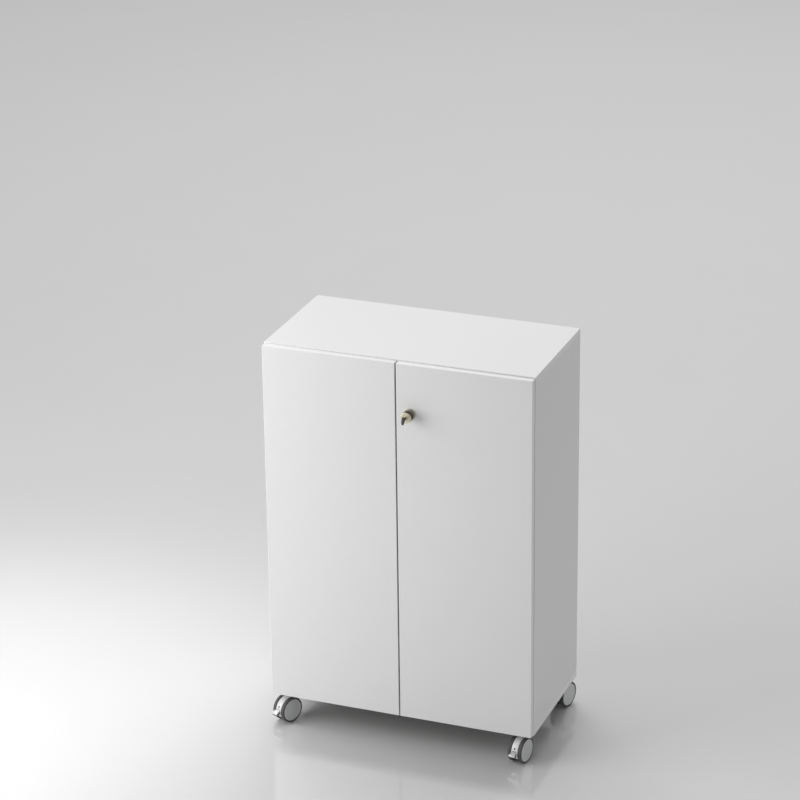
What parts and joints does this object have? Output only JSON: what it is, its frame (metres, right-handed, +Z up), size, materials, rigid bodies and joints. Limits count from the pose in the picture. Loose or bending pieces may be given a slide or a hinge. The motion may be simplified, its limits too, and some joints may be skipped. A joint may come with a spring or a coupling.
{
  "type": "mobile file cupboard",
  "caption": "White upright file cupboard on swivelling twin-wheel castors, with hinged double doors, a keyed knob lock that drives rods, and shelves inside.",
  "frame": {"origin": "on the floor, under the middle of the object's box", "axes": "+Z up, -Y towards the front of the doors, +X to the right as seen from the front"},
  "size_m": [0.8015, 0.5034, 1.1942],
  "materials": {
    "white_board": "white melamine on chipboard, satin",
    "white_back": "white lacquered fibreboard",
    "bright_steel": "bright nickel-plated steel",
    "zinc": "dull zinc-plated steel",
    "nickel": "pale brass-toned plate",
    "dark_metal": "dark plated key",
    "grey_plastic": "moulded grey plastic",
    "dark_tread": "dark wheel with a soft tread"
  },
  "bodies": {
    "carcass": {"adjustable_shelf": "white_board", "back_panel": "white_back", "base_panel": "white_board", "fixed_shelf": "white_board", "front_left_castor_plate": "bright_steel", "front_right_castor_plate": "bright_steel", "left_front_shelf_pin": "zinc", "left_lower_hinge_arm": "bright_steel", "left_middle_hinge_arm": "bright_steel", "left_rear_shelf_pin": "zinc", "left_side": "white_board", "left_upper_hinge_arm": "bright_steel", "lower_strike": "zinc", "rear_left_castor_plate": "bright_steel", "rear_right_castor_plate": "bright_steel", "right_front_shelf_pin": "zinc", "right_lower_hinge_arm": "bright_steel", "right_middle_hinge_arm": "bright_steel", "right_rear_shelf_pin": "zinc", "right_side": "white_board", "right_upper_hinge_arm": "bright_steel", "top_panel": "white_board", "upper_strike": "zinc"},
    "left_door": {"left_bolt_case": "grey_plastic", "left_door": "white_board", "left_lower_hinge_cup": "bright_steel", "left_middle_hinge_cup": "bright_steel", "left_upper_hinge_cup": "bright_steel"},
    "right_door": {"lock_case": "zinc", "lock_rosette": "nickel", "lower_rod_guide": "grey_plastic", "right_door": "white_board", "right_lower_hinge_cup": "bright_steel", "right_middle_hinge_cup": "bright_steel", "right_upper_hinge_cup": "bright_steel", "upper_rod_guide": "grey_plastic"},
    "left_bolt": {"left_bolt": "bright_steel"},
    "lock_knob": {"lock_knob": "nickel"},
    "lock_plug": {"lock_plug": "nickel"},
    "lock_key": {"lock_key": "dark_metal"},
    "upper_lock_rod": {"upper_lock_rod": "bright_steel"},
    "lower_lock_rod": {"lower_lock_rod": "bright_steel"},
    "front_left_castor": {"front_left_castor_body": "bright_steel", "front_left_axle": "zinc"},
    "front_left_left_wheel": {"front_left_left_wheel": "dark_tread"},
    "front_left_right_wheel": {"front_left_right_wheel": "dark_tread"},
    "front_left_brake_pedal": {"front_left_brake_pedal": "bright_steel"},
    "front_right_castor": {"front_right_castor_body": "bright_steel", "front_right_axle": "zinc"},
    "front_right_left_wheel": {"front_right_left_wheel": "dark_tread"},
    "front_right_right_wheel": {"front_right_right_wheel": "dark_tread"},
    "front_right_brake_pedal": {"front_right_brake_pedal": "bright_steel"},
    "rear_right_castor": {"rear_right_castor_body": "bright_steel", "rear_right_axle": "zinc"},
    "rear_right_left_wheel": {"rear_right_left_wheel": "dark_tread"},
    "rear_right_right_wheel": {"rear_right_right_wheel": "dark_tread"},
    "rear_left_castor": {"rear_left_castor_body": "bright_steel", "rear_left_axle": "zinc"},
    "rear_left_left_wheel": {"rear_left_left_wheel": "dark_tread"},
    "rear_left_right_wheel": {"rear_left_right_wheel": "dark_tread"}
  },
  "joints": [
    {"name": "left_door_hinge", "type": "hinge", "parent": "carcass", "child": "left_door", "pos_m": [-0.3905, -0.17957, 0.64432], "axis": [0, 0, -1], "range_deg": [0, 95]},
    {"name": "right_door_hinge", "type": "hinge", "parent": "carcass", "child": "right_door", "pos_m": [0.3905, -0.17957, 0.64432], "axis": [0, 0, 1], "range_deg": [0, 95]},
    {"name": "left_bolt_slide", "type": "slide", "parent": "left_door", "child": "left_bolt", "axis": [0, 0, 1], "range_m": [0, 0.012]},
    {"name": "knob_turn", "type": "hinge", "parent": "right_door", "child": "lock_knob", "pos_m": [0.042, -0.18807, 1.04502], "axis": [0, 1, 0], "range_deg": [0, 90]},
    {"name": "upper_rod_slide", "type": "slide", "parent": "right_door", "child": "upper_lock_rod", "axis": [0, 0, 1], "range_m": [0, 0.012]},
    {"name": "lower_rod_slide", "type": "slide", "parent": "right_door", "child": "lower_lock_rod", "axis": [0, 0, -1], "range_m": [0, 0.012]},
    {"name": "key_turn", "type": "hinge", "parent": "lock_knob", "child": "lock_plug", "pos_m": [0.042, -0.18807, 1.04502], "axis": [0, 1, 0], "range_deg": [0, 90]},
    {"name": "key_pull", "type": "slide", "parent": "lock_plug", "child": "lock_key", "axis": [0, -1, 0], "range_m": [0, 0.02]},
    {"name": "front_left_swivel", "type": "hinge", "parent": "carcass", "child": "front_left_castor", "pos_m": [-0.359, -0.13367, 0.07902], "axis": [0, 0, 1], "continuous": true},
    {"name": "front_left_left_wheel_spin", "type": "hinge", "parent": "front_left_castor", "child": "front_left_left_wheel", "pos_m": [-0.37682, -0.14762, 0.03852], "axis": [0.9135, -0.4067, 0], "continuous": true},
    {"name": "front_left_right_wheel_spin", "type": "hinge", "parent": "front_left_castor", "child": "front_left_right_wheel", "pos_m": [-0.35745, -0.15625, 0.03852], "axis": [0.9135, -0.4067, 0], "continuous": true},
    {"name": "front_left_brake", "type": "hinge", "parent": "front_left_castor", "child": "front_left_brake_pedal", "pos_m": [-0.37543, -0.17057, 0.04676], "axis": [0.9135, -0.4067, 0], "range_deg": [0, 15]},
    {"name": "front_right_swivel", "type": "hinge", "parent": "carcass", "child": "front_right_castor", "pos_m": [0.359, -0.13367, 0.07902], "axis": [0, 0, 1], "continuous": true},
    {"name": "front_right_left_wheel_spin", "type": "hinge", "parent": "front_right_castor", "child": "front_right_left_wheel", "pos_m": [0.34509, -0.15152, 0.03852], "axis": [0.9848, -0.1736, 0], "continuous": true},
    {"name": "front_right_right_wheel_spin", "type": "hinge", "parent": "front_right_castor", "child": "front_right_right_wheel", "pos_m": [0.36597, -0.1552, 0.03852], "axis": [0.9848, -0.1736, 0], "continuous": true},
    {"name": "front_right_brake", "type": "hinge", "parent": "front_right_castor", "child": "front_right_brake_pedal", "pos_m": [0.35198, -0.17345, 0.04676], "axis": [0.9848, -0.1736, 0], "range_deg": [0, 15]},
    {"name": "rear_right_swivel", "type": "hinge", "parent": "carcass", "child": "rear_right_castor", "pos_m": [0.359, 0.19034, 0.07902], "axis": [0, 0, 1], "continuous": true},
    {"name": "rear_right_left_wheel_spin", "type": "hinge", "parent": "rear_right_castor", "child": "rear_right_left_wheel", "pos_m": [0.37412, 0.20718, 0.03852], "axis": [-0.9703, 0.2419, 0], "continuous": true},
    {"name": "rear_right_right_wheel_spin", "type": "hinge", "parent": "rear_right_castor", "child": "rear_right_right_wheel", "pos_m": [0.35355, 0.2123, 0.03852], "axis": [-0.9703, 0.2419, 0], "continuous": true},
    {"name": "rear_left_swivel", "type": "hinge", "parent": "carcass", "child": "rear_left_castor", "pos_m": [-0.359, 0.19034, 0.07902], "axis": [0, 0, 1], "continuous": true},
    {"name": "rear_left_left_wheel_spin", "type": "hinge", "parent": "rear_left_castor", "child": "rear_left_left_wheel", "pos_m": [-0.35355, 0.2123, 0.03852], "axis": [-0.9703, -0.2419, 0], "continuous": true},
    {"name": "rear_left_right_wheel_spin", "type": "hinge", "parent": "rear_left_castor", "child": "rear_left_right_wheel", "pos_m": [-0.37412, 0.20718, 0.03852], "axis": [-0.9703, -0.2419, 0], "continuous": true}
  ],
  "couplings": [
    {"joint": "upper_rod_slide", "follows": "knob_turn", "m_per_rad": 0.0076394},
    {"joint": "lower_rod_slide", "follows": "knob_turn", "m_per_rad": 0.0076394}
  ]
}
